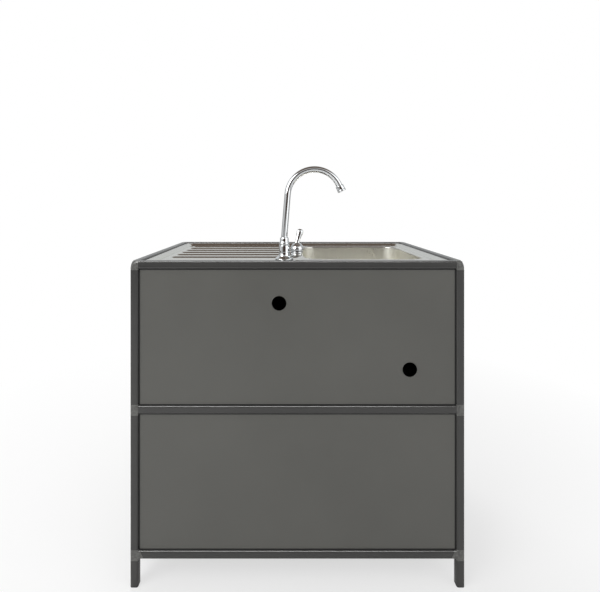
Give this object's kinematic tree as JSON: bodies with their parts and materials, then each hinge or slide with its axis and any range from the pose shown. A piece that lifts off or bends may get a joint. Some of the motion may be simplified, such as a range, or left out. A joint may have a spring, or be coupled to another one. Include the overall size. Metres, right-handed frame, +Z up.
{
  "type": "kitchen sink unit",
  "caption": "Free-standing tube-frame sink base with sheet panels and doors, a lay-in bowl with drainer and a swan-neck lever mixer.",
  "frame": {"origin": "centre of the footprint, on the floor", "axes": "+Z up, +Y towards the back with the tap, the user at -Y"},
  "size_m": [0.922, 0.576, 1.1715],
  "materials": {
    "frame_paint": "semi-gloss powder coat, dark grey",
    "cast_paint": "semi-gloss powder coat on castings",
    "panel_paint": "satin powder coat, warm dark grey",
    "door_paint": "satin powder coat, warm dark grey",
    "foot_plastic": "fine matt moulded",
    "knob_metal": "turned and satin anodised",
    "sink_steel": "fine brushed stainless",
    "zinc_steel": "zinc plated",
    "waste_plastic": "moulded white polypropylene",
    "catch_plastic": "moulded",
    "gasket_rubber": "smooth",
    "valve_nylon": "moulded",
    "brass": "machined",
    "tail_copper": "drawn tube",
    "tap_chrome": "polished plate"
  },
  "bodies": {
    "root": {"back_panel_lower": "panel_paint", "back_panel_upper": "panel_paint", "bottom_connectors": "cast_paint", "bottom_rail_back": "frame_paint", "bottom_rail_front": "frame_paint", "bottom_rail_left": "frame_paint", "bottom_rail_right": "frame_paint", "door_catches": "catch_plastic", "door_pivots": "zinc_steel", "floor_panel": "panel_paint", "foot_caps": "foot_plastic", "left_panel_lower": "panel_paint", "left_panel_upper": "panel_paint", "middle_connectors": "cast_paint", "middle_rail_back": "frame_paint", "middle_rail_front": "frame_paint", "middle_rail_left": "frame_paint", "middle_rail_right": "frame_paint", "middle_shelf": "panel_paint", "overflow_fitting": "sink_steel", "panel_clips": "zinc_steel", "post_back_left": "frame_paint", "post_back_right": "frame_paint", "post_front_left": "frame_paint", "post_front_right": "frame_paint", "right_panel_lower": "panel_paint", "right_panel_upper": "panel_paint", "sink_bowl": "sink_steel", "sink_deck": "sink_steel", "sink_supports": "zinc_steel", "strainer_cup": "sink_steel", "tap_body": "tap_chrome", "tap_cartridge": "valve_nylon", "tap_gasket": "gasket_rubber", "tap_inlet_tails": "tail_copper", "tap_mounting_nut": "brass", "tap_spout_collar": "tap_chrome", "top_connectors": "cast_paint", "top_rail_back": "frame_paint", "top_rail_front": "frame_paint", "top_rail_left": "frame_paint", "top_rail_right": "frame_paint", "trap_body": "waste_plastic", "trap_cup": "waste_plastic", "trap_nuts": "waste_plastic", "waste_body": "waste_plastic"},
    "door_upper_left": {"door_upper_left": "door_paint", "knob_upper_left": "knob_metal"},
    "door_upper_right": {"door_upper_right": "door_paint", "knob_upper_right": "knob_metal"},
    "door_lower_left": {"door_lower_left": "door_paint", "knob_lower_left": "knob_metal"},
    "door_lower_right": {"door_lower_right": "door_paint", "knob_lower_right": "knob_metal"},
    "spout": {"tap_spout": "tap_chrome", "tap_aerator": "tap_chrome"},
    "valve_spindle": {"tap_valve_yoke": "brass"},
    "lever": {"tap_lever_cap": "tap_chrome", "tap_lever": "tap_chrome"},
    "basket": {"basket_plug": "sink_steel"}
  },
  "joints": [
    {"name": "door_upper_left_hinge", "type": "hinge", "parent": "root", "child": "door_upper_left", "pos_m": [-0.429, -0.264, 0.689], "axis": [0, 0, -1], "range_deg": [0, 110]},
    {"name": "door_upper_right_hinge", "type": "hinge", "parent": "root", "child": "door_upper_right", "pos_m": [0.429, -0.264, 0.689], "axis": [0, 0, 1], "range_deg": [0, 110]},
    {"name": "door_lower_left_hinge", "type": "hinge", "parent": "root", "child": "door_lower_left", "pos_m": [-0.429, -0.264, 0.289], "axis": [0, 0, -1], "range_deg": [0, 110]},
    {"name": "door_lower_right_hinge", "type": "hinge", "parent": "root", "child": "door_lower_right", "pos_m": [0.429, -0.264, 0.289], "axis": [0, 0, 1], "range_deg": [0, 110]},
    {"name": "spout_swivel", "type": "hinge", "parent": "root", "child": "spout", "pos_m": [0.036, 0.182, 0.93], "axis": [0, 0, 1], "continuous": true},
    {"name": "lever_turn", "type": "hinge", "parent": "root", "child": "valve_spindle", "pos_m": [-0.0025, 0.182, 0.912], "axis": [0, 0, 1], "range_deg": [-45, 45]},
    {"name": "lever_lift", "type": "hinge", "parent": "valve_spindle", "child": "lever", "pos_m": [-0.0025, 0.182, 0.912], "axis": [-1, 0, 0], "range_deg": [0, 20]},
    {"name": "basket_lift", "type": "slide", "parent": "root", "child": "basket", "axis": [0, 0, 1], "range_m": [0, 0.06]}
  ]
}
